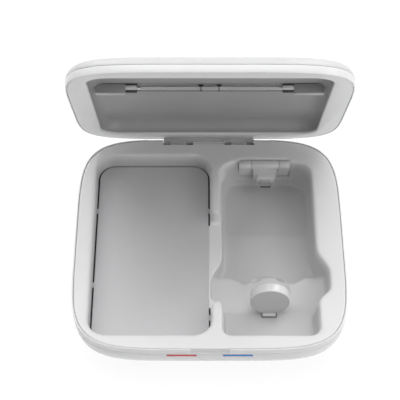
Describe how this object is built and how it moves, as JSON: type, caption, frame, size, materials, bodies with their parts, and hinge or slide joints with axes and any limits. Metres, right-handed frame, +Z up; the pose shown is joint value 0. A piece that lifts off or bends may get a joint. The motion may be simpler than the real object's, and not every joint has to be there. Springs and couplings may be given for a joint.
{
  "type": "uv sanitizer box",
  "caption": "White clamshell box that cleans a phone and small things with ultraviolet light, with a phone charging well, a device recess, a watch puck and an earbud-case connector.",
  "frame": {"origin": "centre of the base outline, on the table, at the underside of the feet", "axes": "+Z up, +X to the right seen from the front, -Y towards the user; the lid hinge runs along X at the rear"},
  "size_m": [0.194, 0.2032, 0.198],
  "materials": {
    "shell_white": "gloss white",
    "band_white": "gloss white",
    "tray_white": "satin off-white",
    "platform_grey": "satin light grey",
    "liner_grey": "satin light grey",
    "lamp_trim": "satin white",
    "button_red": "gloss",
    "button_blue": "gloss",
    "puck_white": "gloss white",
    "puck_grey": "satin grey",
    "connector_white": "gloss white",
    "hinge_grey": "satin grey",
    "bracket_grey": "satin grey",
    "rubber_grey": "matte",
    "steel": "turned",
    "plated": "plated",
    "copper": "enamelled wire",
    "ferrite": "matte",
    "carrier_white": "satin",
    "board_green": "solder mask",
    "chip_black": "matte",
    "sleeve_black": "matte",
    "lamp_glass": "clear quartz",
    "magnet": "nickel plated"
  },
  "bodies": {
    "base": {"bottom_shell": "shell_white", "base_frame": "band_white", "tray_deck": "tray_white", "phone_tub": "tray_white", "device_tub": "tray_white", "charging_platform": "platform_grey", "phone_coil": "copper", "ferrite_disc": "ferrite", "coil_carrier": "carrier_white", "main_board": "board_green", "board_components": "chip_black", "board_screws": "steel", "usb_c_socket": "plated", "bottom_screws": "steel", "rubber_feet": "rubber_grey", "button_board": "board_green", "tact_switches": "chip_black", "lid_sensor": "chip_black", "base_magnets": "magnet", "hinge_troughs": "bracket_grey", "hinge_pins": "steel", "friction_sleeves": "sleeve_black", "connector_bracket": "connector_white", "connector_pin": "steel", "puck_pin": "steel"},
    "lid": {"lid_cover": "shell_white", "lid_frame": "band_white", "lid_liner": "liner_grey", "hinge_leaf": "hinge_grey", "leaf_screws": "steel", "uv_lamp": "lamp_glass", "lamp_caps": "lamp_trim", "lamp_housings": "lamp_trim", "lamp_clip": "lamp_trim", "lamp_driver_board": "board_green", "driver_components": "chip_black", "lid_magnets": "magnet"},
    "watch_puck": {"puck_housing": "puck_white", "puck_face": "puck_grey", "puck_coil": "copper", "puck_magnet": "magnet"},
    "case_connector": {"connector_arm": "connector_white", "connector_plug": "plated"},
    "left_button": {"left_button": "button_red"},
    "right_button": {"right_button": "button_blue"}
  },
  "joints": [
    {"name": "lid_hinge", "type": "hinge", "parent": "base", "child": "lid", "pos_m": [0, 0.0922, 0.0268], "axis": [-1, 0, 0], "range_deg": [-61.5, 6.5]},
    {"name": "puck_fold", "type": "hinge", "parent": "base", "child": "watch_puck", "pos_m": [0.0423, -0.0476, 0.0135], "axis": [-1, 0, 0], "range_deg": [0, 71]},
    {"name": "connector_flip", "type": "hinge", "parent": "base", "child": "case_connector", "pos_m": [0.042, 0.0718, 0.0302], "axis": [-1, 0, 0], "range_deg": [0, 70]},
    {"name": "left_press", "type": "slide", "parent": "base", "child": "left_button", "axis": [0, 1, 0], "range_m": [0, 0.0006], "stiffness_N_per_m": 2000, "springref_m": -0.0004},
    {"name": "right_press", "type": "slide", "parent": "base", "child": "right_button", "axis": [0, 1, 0], "range_m": [0, 0.0006], "stiffness_N_per_m": 2000, "springref_m": -0.0004}
  ]
}
